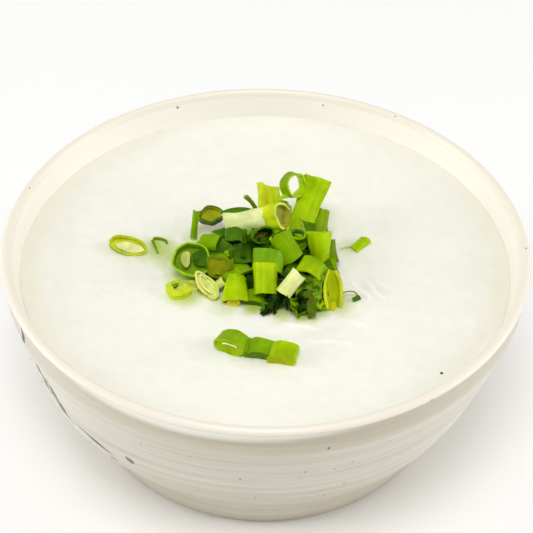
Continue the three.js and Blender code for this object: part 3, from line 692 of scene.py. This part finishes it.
# The cuts that show, from the heap's back edge to its front. A filling is the inner leaf in a ring,
# and a fill lies behind other cuts.
heap_cuts = [
    cut_stalk("back_strip", (-20.6, 10.4, 60.5), (74, 66), (2.8, 2.8), 9, 0.5, span=(-52, 52),
              bend=0.5, edge=MID),
    cut_stalk("back_ring", (-16.2, 12.4, 62), (-84, 62), (7, 5.6), 2.6, 0.5, turn=-14, dents=0.16,
              skin=DEEP, inside=paint(186, 188, 24), edge=DEEP),
    cut_stalk("back_ring_filling", (-16.2, 12.8, 61.2), (-84, 62), (6.2, 4.8), 1, turn=-14, dents=0.16,
              skin=DEEP, edge=paint(172, 176, 26)),
    cut_stalk("back_block", (1.2, 17, 64.8), (98, 52), (5, 7.6), 7.8, 1.4, turn=-90, slant=(0, 0.3),
              taper=(1, 0.9), crumple=0.05, skin=paint(200, 214, 22), far_skin=YELLOW, inside=YELLOW,
              edge=PALE),
    cut_stalk("back_fill_left", (-11.5, 7.5, 57.6), (20, 6), (7.4, 6.4), 7, 0.9, skin=DEEP,
              inside=DARK),
    cut_stalk("back_fill_middle", (4.5, 15, 59.4), (100, 18), (8.2, 7), 7, 1),
    cut_stalk("back_fill_right", (13.6, 8.4, 60), (-160, 10), (8, 6.6), 7.4, 1, skin=DEEP, inside=MID),
    cut_stalk("dark_stub", (-4.3, 13.7, 65.3), (163, 58), (2.1, 1.9), 6.2, taper=(0.9, 0.75),
              belly=-0.2, bend=0.7, skin=DEEP, far_skin=paint(112, 122, 26), edge=OLIVE, sides=16,
              ribs=5),
    cut_stalk("dark_sliver", (-8.6, 11.6, 64.4), (6, 4), (3, 2.6), 9, taper=(0.25, 0.2), belly=0.75,
              skin=DEEP, edge=DEEP, sides=24),
    cut_stalk("white_stalk", (-6, 10, 61.9), (5, 5), (8, 7.2), 11.4, 1.1, slant=(0.2, 0.1), dents=0.08,
              skin=paint(216, 226, 152), far_skin=CREAM, inside=PALE, edge=CREAM),
    cut_stalk("yellow_ring", (3.2, 9.8, 64), (-20, 22), (8.6, 8), 4.6, 0.8, slant=(0.1, -0.25),
              dents=0.08, skin=YELLOW, far_skin=LIME, inside=paint(172, 174, 60),
              edge=paint(220, 226, 96)),
    cut_stalk("yellow_ring_filling", (2.6, 10, 63.8), (-20, 22), (7, 6.4), 3, dents=0.08, skin=OLIVE,
              edge=paint(168, 170, 72)),
    cut_stalk("tall_leaf", (12.2, 12.6, 65.4), (65, 37), (8.2, 2.4), 18.4, 0.6, slant=(0, 0.1),
              taper=(0.95, 1.06), dents=0.05, skin=paint(164, 202, 8), far_skin=BRIGHT, inside=LIME,
              edge=BRIGHT, ribs=6, rib=0.07),
    cut_stalk("leaf_loop", (8.2, 17.4, 70), (-50, 34), (7.2, 6.8), 4, 0.5, dents=0.16, inside=LIME,
              edge=BRIGHT),
    cut_stalk("leaf_strand", (5.6, 14.4, 67.4), (20, 10), (2.4, 1), 4.6, taper=(0.5, 1), bend=0.6,
              skin=BRIGHT, edge=BRIGHT, sides=20),
    cut_stalk("olive_flap", (16.4, 9.2, 62.8), (70, 40), (6.2, 4.2), 7.4, 0.6, span=(-95, 95),
              taper=(0.9, 0.5), skin=paint(112, 142, 16), far_skin=paint(130, 158, 10), inside=OLIVE,
              edge=BRIGHT),
    cut_stalk("dark_ring", (-1.2, 1.4, 63.4), (-62, 52), (6.8, 5.4), 4.2, 0.6, dents=0.16, skin=DEEP,
              inside=DARK, edge=DEEP),
    cut_stalk("dark_ring_filling", (-1, 1.8, 62), (-62, 52), (6, 4.6), 1.4, dents=0.16, skin=DEEP,
              edge=BROWN),
    cut_stalk("dark_stalk", (-8.8, 1, 62.6), (84, 10), (6.8, 6), 5, 0.5, dents=0.16, crumple=0.05,
              skin=DEEP, inside=DEEP, edge=paint(116, 156, 40), ribs=5, rib=0.03),
    cut_stalk("dark_stalk_filling", (-8.8, 1.2, 62.5), (84, 10), (6, 5.2), 4, dents=0.16, skin=DEEP,
              edge=paint(62, 110, 10)),
    cut_stalk("dark_fold", (-11.4, -3.6, 61.4), (40, 40), (6, 5), 5.6, 0.5, dents=0.25, crumple=0.1,
              skin=DARK, far_skin=DEEP, inside=DARK, edge=MID, ribs=5, rib=0.03),
    cut_stalk("left_top_stalk", (-15.6, 1.2, 60.8), (-24, 12), (5.4, 5), 6, dents=0.04, crumple=0,
              edge=paint(112, 150, 8), ribs=3),
    cut_stalk("small_ring", (9, -0.9, 66), (-80, 76), (5.8, 4.8), 2.6, 0.7, skin=DEEP,
              inside=paint(128, 168, 76), edge=MID),
    cut_stalk("centre_stalk", (6, -4.3, 64.8), (135, 44), (7.4, 6.2), 8.6, 0.8, inside=DEEP,
              edge=BRIGHT),
    cut_stalk("right_stalk", (15.6, -2.6, 62.8), (96, 54), (7.4, 5.8), 9.4, 0.8, taper=(0.7, 0.98),
              belly=0.02, skin=paint(150, 186, 4), far_skin=paint(172, 204, 4), edge=LIME),
    cut_stalk("right_back_ring", (18.2, -1, 59.8), (104, 44), (5.4, 5), 6.6, 0.8, bend=-0.4,
              skin=paint(104, 128, 8), inside=OLIVE, edge=MID),
    cut_stalk("left_ring", (-20.8, -5.9, 60), (-100, 56), (11.4, 9.8), 6, 0.5, dents=0.12,
              far_skin=paint(146, 186, 10), inside=paint(132, 172, 10), edge=paint(150, 190, 20)),
    cut_stalk("left_ring_filling", (-20.7, -5.2, 59.4), (-100, 56), (10.4, 8.8), 3.4, dents=0.12,
              skin=DEEP, edge=paint(130, 166, 20)),
    cut_stalk("left_ring_core", (-18.1, -5.5, 61.1), (-92, 50), (6, 4.8), 4.4, dents=0.16, skin=DARK,
              far_skin=DEEP, edge=paint(56, 104, 10), ribs=4, rib=0.03),
    cut_stalk("left_ring_tip", (-26.1, -4.2, 59.6), (-105, 60), (0.9, 1.4), 3, belly=0.4, skin=DEEP,
              edge=DEEP, sides=16, ribs=3),
    cut_stalk("left_ring_pale", (-22.7, -5.7, 60.5), (-96, 56), (2.8, 4.6), 4.2, dents=0.12,
              skin=paint(186, 196, 90), edge=paint(190, 200, 104), sides=24, ribs=3, rib=0.06),
    cut_stalk("olive_ring", (-13.8, -8.2, 61.2), (-80, 34), (7.2, 7), 5.4, 0.5, dents=0.22, skin=DEEP,
              far_skin=MID, inside=OLIVE, edge=paint(104, 134, 12)),
    cut_stalk("olive_ring_filling", (-13.8, -8.1, 61.1), (-80, 34), (6.3, 6), 5.1, dents=0.22,
              skin=DEEP, edge=paint(138, 146, 12)),
    cut_stalk("dark_curl", (-6.8, -5.4, 61.2), (100, 14), (6.4, 6), 5.6, 0.5, dents=0.25, crumple=0.1,
              skin=DEEP, far_skin=DARK, inside=DARK, edge=paint(84, 130, 24)),
    cut_stalk("dark_curl_filling", (-6.8, -5, 61), (100, 14), (5.6, 5), 4.2, dents=0.25, skin=DARK,
              edge=paint(26, 52, 2)),
    cut_stalk("front_ring", (0.9, -8.4, 61.9), (80, 26), (9.2, 8), 6.4, 0.6, dents=0.06,
              far_skin=paint(112, 162, 22), inside=DEEP, edge=DEEP, ribs=5, rib=0.03),
    # Its near end is darker than its far end: painted shade along the stalk.
    cut_stalk("front_stalk", (0.1, -14.5, 61.3), (89, 37), (7, 6), 9, 0.7, dents=0.05,
              skin=paint(154, 188, 2), far_skin=paint(178, 208, 2), edge=BRIGHT, ribs=5, rib=0.03),
    cut_stalk("right_ring", (13, -11.4, 61.6), (62, 10), (8.6, 7.4), 5.4, 0.7, dents=0.08, skin=BRIGHT,
              far_skin=MID, inside=DEEP, edge=LIME),
    cut_stalk("pale_stalk", (7.4, -16.5, 61.6), (40, 36), (4.8, 4.4), 7.6, dents=0.05,
              skin=paint(226, 234, 140), far_skin=CREAM, edge=paint(220, 230, 110), ribs=4, rib=0.04),
    cut_stalk("crumpled_right", (14.6, -13.8, 58.4), (70, 12), (7, 5), 5, 0.6, dents=0.3, crumple=0.22,
              skin=DEEP, far_skin=DARK, inside=DEEP, edge=MID),
    cut_stalk("curved_wall", (19.4, -16.6, 59.4), (92, 36), (6.4, 5), 11.4, 0.9, turn=190,
              span=(-112, 112), taper=(0.62, 0.34), belly=0.42, skin=paint(206, 200, 24),
              far_skin=LIME, inside=paint(176, 190, 12), edge=paint(200, 206, 36), ribs=5, rib=0.05),
    cut_stalk("right_fill", (17.4, -7.6, 58.6), (20, 12), (5.6, 5), 4.6, 0.9, skin=DEEP, inside=MID),
    cut_stalk("left_flat_ring", (-24.7, -14.2, 56.8), (60, 84), (7.4, 7.6), 2, 1.7, dents=0.14,
              crumple=0.01, skin=paint(206, 222, 20), inside=PALE, edge=paint(204, 218, 44), ribs=3),
    cut_stalk("left_flat_filling", (-24.7, -14.2, 56.7), (60, 84), (6.4, 6.4), 2, dents=0.14,
              skin=PALE, edge=paint(212, 222, 90)),
    cut_stalk("left_flat_scrap", (-21, -13, 56.9), (20, 80), (3.8, 5), 1.6, dents=0.14, skin=PALE,
              edge=paint(216, 226, 104)),
    cut_stalk("left_flat_spot", (-26, -13.4, 57.2), (60, 84), (1.8, 3), 1.8, dents=0.2, skin=DEEP,
              edge=paint(120, 168, 20), sides=14, ribs=4),
    cut_stalk("pale_ring", (-16.6, -14.8, 59.2), (-90, 46), (9.6, 5), 2.4, 0.5, turn=-52, dents=0.14,
              skin=paint(206, 220, 30), inside=PALE, edge=paint(222, 230, 110)),
    cut_stalk("pale_ring_filling", (-16.6, -14.5, 59.1), (-90, 46), (8.6, 4), 2, turn=-52, dents=0.14,
              skin=PALE, edge=paint(220, 228, 120)),
    cut_stalk("pale_ring_middle", (-16.6, -14.7, 59.2), (-90, 46), (6.4, 2.6), 2.2, 0.4, turn=-52,
              dents=0.14, skin=PALE, inside=PALE, edge=paint(232, 238, 168)),
    cut_stalk("pale_scrap", (-13.2, -13.6, 58.6), (20, 30), (3, 2.4), 3.6, dents=0.2, skin=PALE,
              edge=CREAM, sides=24),
    cut_stalk("left_wedge", (-8.4, -16, 59.2), (88, 32), (8.4, 6), 8, 0.6, taper=(0.94, 0.52),
              belly=0.04, skin=paint(170, 200, 2), far_skin=paint(156, 190, 2), inside=YELLOW,
              edge=paint(206, 206, 24), ribs=5, rib=0.03),
    cut_stalk("wedge_root", (-8.9, -18.7, 57), (-92, 12), (3.4, 2.4), 2.6, dents=0.16,
              skin=paint(206, 206, 26), edge=paint(222, 212, 40), sides=24),
    cut_stalk("front_fill", (-2.9, -17.8, 56.6), (80, 8), (6.4, 4), 4.4, edge=DEEP),
    cut_stalk("small_olive", (18.9, -20.4, 56), (90, 20), (3.2, 2), 2.6, dents=0.2,
              skin=paint(178, 180, 16), edge=paint(168, 170, 16), sides=24),
    cut_stalk("thread", (24, -16.6, 57), (-90, 40), (5.4, 3.4), 0.5, 0.3, span=(-95, 95), skin=OLIVE,
              inside=OLIVE, edge=OLIVE, ribs=3),
    cut_stalk("thread_end", (25.9, -17.2, 56.8), (30, 20), (1.6, 1.3), 2.2, dents=0.3, skin=DEEP,
              edge=OLIVE, sides=16),
]
onion_heap = joined("spring_onion_cuts", heap_cuts)
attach(onion_heap, "root")
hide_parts("spring_onion_heap")

# ---- Packed cuts ---------------------------------------------------------------------------------
# Small dark cuts under those that show. They fill the heap down to the congee, in a low mound, and
# lie any way.

PACKED_CUTS = 44
MOUND_FOOT = 57
MOUND_TOP = 60.8
MOUND_SHARE = 0.88
packed = []
draw = random.Random(5)
for i in range(PACKED_CUTS):
    out = math.sqrt(draw.random()) * MOUND_SHARE
    bearing = draw.uniform(0, 2 * math.pi)
    middle_x = HEAP_MIDDLE[0] + HEAP_HALF[0] * out * math.cos(bearing)
    middle_y = HEAP_MIDDLE[1] + HEAP_HALF[1] * out * math.sin(bearing)
    rise = MOUND_FOOT + (MOUND_TOP - MOUND_FOOT) * (1 - out * out)
    width = draw.uniform(4.4, 6.8)
    aim = (draw.uniform(0, 360), draw.uniform(-18, 30))
    long = draw.uniform(4.5, 7)
    # Most take the darkest greens: the leaf's own dark green, and painted shade in the gaps between the cuts
    # that show.
    tint = draw.choice([DARK, DARK, DEEP, MID])
    packed.append(cut_stalk(
        f"packed_cut_{i}", (middle_x, middle_y, rise), aim, (width, width * 0.8), long, 0.8,
        dents=0.2, skin=tint, inside=DARK, edge=DEEP, sides=28))
packed_cuts = joined("packed_cuts", packed)
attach(packed_cuts, "root")
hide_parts("spring_onion_heap")

# ---- Curly leaf tips -----------------------------------------------------------------------------
# Leaf ends that hang out of the heap's front edge: thin, frilled and torn at the tip. Most are
# dark, and the three crumpled ones start out light.

LEAF_THICKNESS = 0.35 * MM


def leaf_tip(name, at, aim, turn, wide, wave, long, tint, tip_tint):
    """A frilled ribbon that narrows to its torn tip, mottled with the tip's tint."""
    bpy.ops.object.select_all(action="DESELECT")
    bpy.ops.mesh.primitive_grid_add(x_subdivisions=34, y_subdivisions=30, size=1)
    piece = bpy.context.object
    piece.name = name
    mesh = piece.data
    draw = random.Random(name)
    offset = random_place(draw)
    phase = draw.uniform(0, 2 * math.pi)
    fibre, layers = onion_layers(mesh)
    for vertex in mesh.vertices:
        across, share = vertex.co.x + 0.5, vertex.co.y + 0.5
        spot = Vector((across * 3, share * 3, 0)) + offset
        frill = abs(across - 0.5) + 0.5 * share
        x = wave * (math.sin(2 * math.pi * 1.15 * across + phase) + 1.2 * noise.noise(spot))
        x += wave * frill * 0.9 * noise.noise(spot * 2.6)
        y = (across - 0.5) * wide * (1 - 0.3 * share**2) + 0.9 * noise.noise(spot + Vector((0, 0, 9)))
        z = (share - 0.5) * long + 1.5 * share * noise.noise(Vector((across * 7, 0, 0)) + offset)
        vertex.co = (x * MM, y * MM, z * MM)
        fibre.data[vertex.index].vector = Vector((x * 3, y * 2, z)) + offset
        mottle = min(1, max(0, 0.4 + 1.3 * noise.noise(spot * 1.7)))
        mix = np.array(tint) * (1 - mottle) + np.array(tip_tint) * mottle
        for layer in layers:
            layer.data[vertex.index].color = mix
    shell = piece.modifiers.new("leaf", "SOLIDIFY")
    shell.thickness = LEAF_THICKNESS
    shell.offset = 0
    bpy.ops.object.modifier_apply(modifier="leaf")
    bpy.ops.object.shade_smooth_by_angle(angle=math.radians(60))
    lay(piece, at, aim, turn)
    return piece


INKY = paint(14, 26, 10)
leaf_tips = joined("curly_leaf_tips", [
    leaf_tip("tip_left", (2.2, -20.4, 58.2), (-105, -20), 20, 4.4, 0.8, 6, DARK, INKY),
    leaf_tip("tip_left_low", (0.6, -22, 57.3), (-125, -10), -40, 3.4, 0.7, 4.8, DEEP, INKY),
    leaf_tip("tip_right", (9.2, -20.4, 58.6), (-80, -16), 0, 6.6, 1.1, 6.6, DARK, INKY),
    leaf_tip("tip_right_low", (12, -21.6, 58), (-70, -14), 60, 5.4, 1, 7, DEEP, paint(96, 92, 24)),
    leaf_tip("tip_right_under", (9.6, -22, 57.3), (-95, -6), -10, 6, 0.8, 5, MID, DARK),
    leaf_tip("tip_crumpled", (12.4, -16.6, 60), (-96, -34), 0, 8.4, 1.4, 7.6, paint(132, 172, 20), DEEP),
    leaf_tip("tip_crumpled_middle", (13.6, -18.4, 59), (-90, -20), -12, 7.2, 1.2, 6.4,
             paint(146, 174, 50), DEEP),
    leaf_tip("tip_crumpled_low", (14.8, -20.2, 57.8), (-84, -10), 10, 5.6, 1, 5, BRIGHT, DEEP),
    leaf_tip("tip_middle", (5.6, -19.4, 58), (-90, -10), 0, 6, 0.8, 5, DARK, INKY),
])
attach(leaf_tips, "root")
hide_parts("spring_onion_heap")

# ---- Loose cuts ----------------------------------------------------------------------------------
# Cuts that fell clear of the heap: a ring and a curl at the left, a bit at the right, and three
# rings in front that uncut leaf still joins. Each lies a little way into the congee.

loose_ring = joined("loose_ring_cut", [
    cut_stalk("loose_ring_wall", (-40.4, 4.1, 56.6), (-80, 72), (11.6, 6.4), 2.4, 0.55, turn=-26,
              dents=0.04, skin=paint(160, 180, 20), inside=paint(208, 214, 20),
              edge=paint(184, 198, 40)),
    cut_stalk("loose_ring_middle", (-40.3, 4.1, 56.65), (-80, 80), (10.8, 5.6), 1, turn=-26,
              dents=0.04, skin=PALE, edge=paint(208, 214, 56)),
    cut_stalk("loose_ring_pale", (-39.8, 3.4, 56.8), (-80, 80), (8.6, 3.4), 1, turn=-22, dents=0.04,
              skin=PALE, edge=paint(228, 232, 156)),
])
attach(loose_ring, "root")
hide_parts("loose_ring")

loose_curl = joined("loose_curl_cut", [
    cut_stalk("loose_curl_arc", (-31.8, 6.2, 56.1), (-96, 78), (6.4, 4.2), 1.5, 0.5, span=(-84, 34),
              dents=0.06, skin=DEEP, inside=MID, edge=paint(112, 138, 14)),
    cut_stalk("loose_curl_leg", (-32.5, 4.6, 56.4), (-72, 4), (0.8, 0.8), 6.2, taper=(1, 0.6),
              skin=paint(110, 142, 30), edge=MID, sides=14, ribs=3),
])
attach(loose_curl, "root")
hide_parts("loose_curl")

loose_bit = joined("loose_bit_cut", [
    cut_stalk("loose_bit_leaf", (28.1, 5.8, 56.7), (46, 8), (3.2, 1.8), 5.6, dents=0.2, skin=BRIGHT,
              edge=LIME, sides=24),
    cut_stalk("loose_bit_thread", (24.4, 4.6, 56.8), (18, 2), (0.5, 0.5), 4.6, taper=(0.5, 1),
              bend=0.3, dents=0.2, skin=paint(206, 212, 120), edge=PALE, sides=10, ribs=3),
])
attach(loose_bit, "root")
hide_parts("loose_bit")

chain = joined("joined_ring_cuts", [
    cut_stalk("chain_left", (-8.9, -36.5, 58), (-112, 14), (9.2, 4.9), 5.6, 0.5, slant=(0, 0.2),
              dents=0.08, far_skin=paint(140, 178, 6), edge=paint(152, 188, 10)),
    # A thin pale arc inside the left ring's mouth: a painted highlight.
    cut_stalk("chain_left_glint", (-8.8, -36.5, 58.1), (-112, 14), (6.6, 3), 5.9, 0.5, span=(-52, 40),
              slant=(0, 0.2), dents=0.04, skin=PALE, inside=PALE, edge=paint(244, 255, 168)),
    cut_stalk("chain_left_filling", (-8.9, -36.5, 57.9), (-112, 14), (8.6, 4.2), 5.6, slant=(0, 0.2),
              dents=0.08, skin=BRIGHT, edge=paint(156, 184, 8)),
    cut_stalk("chain_joint_left", (-4.7, -37.9, 57), (-104, 2), (3, 3.4), 5.2, edge=MID),
    cut_stalk("chain_middle", (-0.6, -38.8, 57.4), (-102, -6), (8.4, 4.4), 5.4, belly=0.04, dents=0.08,
              far_skin=paint(120, 160, 6), edge=paint(90, 126, 4), ribs=4, rib=0.03),
    cut_stalk("chain_right", (5.1, -40.4, 57.5), (-98, -2), (8.2, 4.4), 6, belly=0.05, dents=0.08,
              skin=BRIGHT, far_skin=paint(150, 178, 2), edge=paint(172, 184, 4), ribs=4, rib=0.03),
])
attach(chain, "root")
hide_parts("joined_rings")

# ---- Table, light and camera ---------------------------------------------------------------------
# A plain pale table under a soft sky, with a wide soft lamp high above and one on each side. The
# camera looks down at the bowl from the diner's place, through a long lens.

bpy.ops.object.select_all(action="DESELECT")
bpy.ops.mesh.primitive_plane_add(size=8)
table = bpy.context.object
table.name = "table"
table_finish = new_finish("pale_table", Base_Color=(0.97, 0.97, 0.965, 1), Roughness=0.6)[0]
table.data.materials.append(table_finish)

SKY_COLOUR = (1.0, 0.995, 0.985, 1)
SKY_STRENGTH = 0.465
sky = bpy.data.worlds.new("soft_sky")
sky.use_nodes = True
background = sky.node_tree.nodes["Background"]
background.inputs["Color"].default_value = SKY_COLOUR
background.inputs["Strength"].default_value = SKY_STRENGTH
bpy.context.scene.world = sky

LAMP_WIDTH = 1
LAMP_TARGET = Vector((0, 0, 0.05))
LAMPS = [
    ("high_lamp", (-0.1, -0.72, 2.42), 26), ("left_lamp", (-2.2, -0.1, 0.76), 19.5),
    ("right_lamp", (2.2, -0.1, 0.76), 18.5),
]
for name, spot, power in LAMPS:
    bpy.ops.object.light_add(type="AREA", location=spot)
    lamp = bpy.context.object
    lamp.name = name
    lamp.data.size = LAMP_WIDTH
    lamp.data.energy = power
    lamp.rotation_euler = (LAMP_TARGET - lamp.location).to_track_quat("-Z", "Y").to_euler()

CAMERA_PLACE = Vector((0, -337.55, 361.59)) * MM
CAMERA_TARGET = Vector((0.409, -5.348, 57.934)) * MM
CAMERA_ROLL = math.radians(0.43)
CAMERA_LENS = 104.9
SENSOR_WIDTH = 36
view = (CAMERA_TARGET - CAMERA_PLACE).normalized()
right = view.cross(Vector((0, 0, 1))).normalized()
upward = right.cross(view)
rolled_right = right * math.cos(CAMERA_ROLL) + upward * math.sin(CAMERA_ROLL)
rolled_up = upward * math.cos(CAMERA_ROLL) - right * math.sin(CAMERA_ROLL)
bpy.ops.object.camera_add()
camera = bpy.context.object
camera.data.lens = CAMERA_LENS
camera.data.sensor_width = SENSOR_WIDTH
camera.data.clip_start = 0.01
facing = Matrix((rolled_right, rolled_up, -view)).transposed()
camera.matrix_world = Matrix.Translation(CAMERA_PLACE) @ facing.to_4x4()
bpy.context.scene.camera = camera
bpy.context.scene.view_settings.view_transform = "Standard"
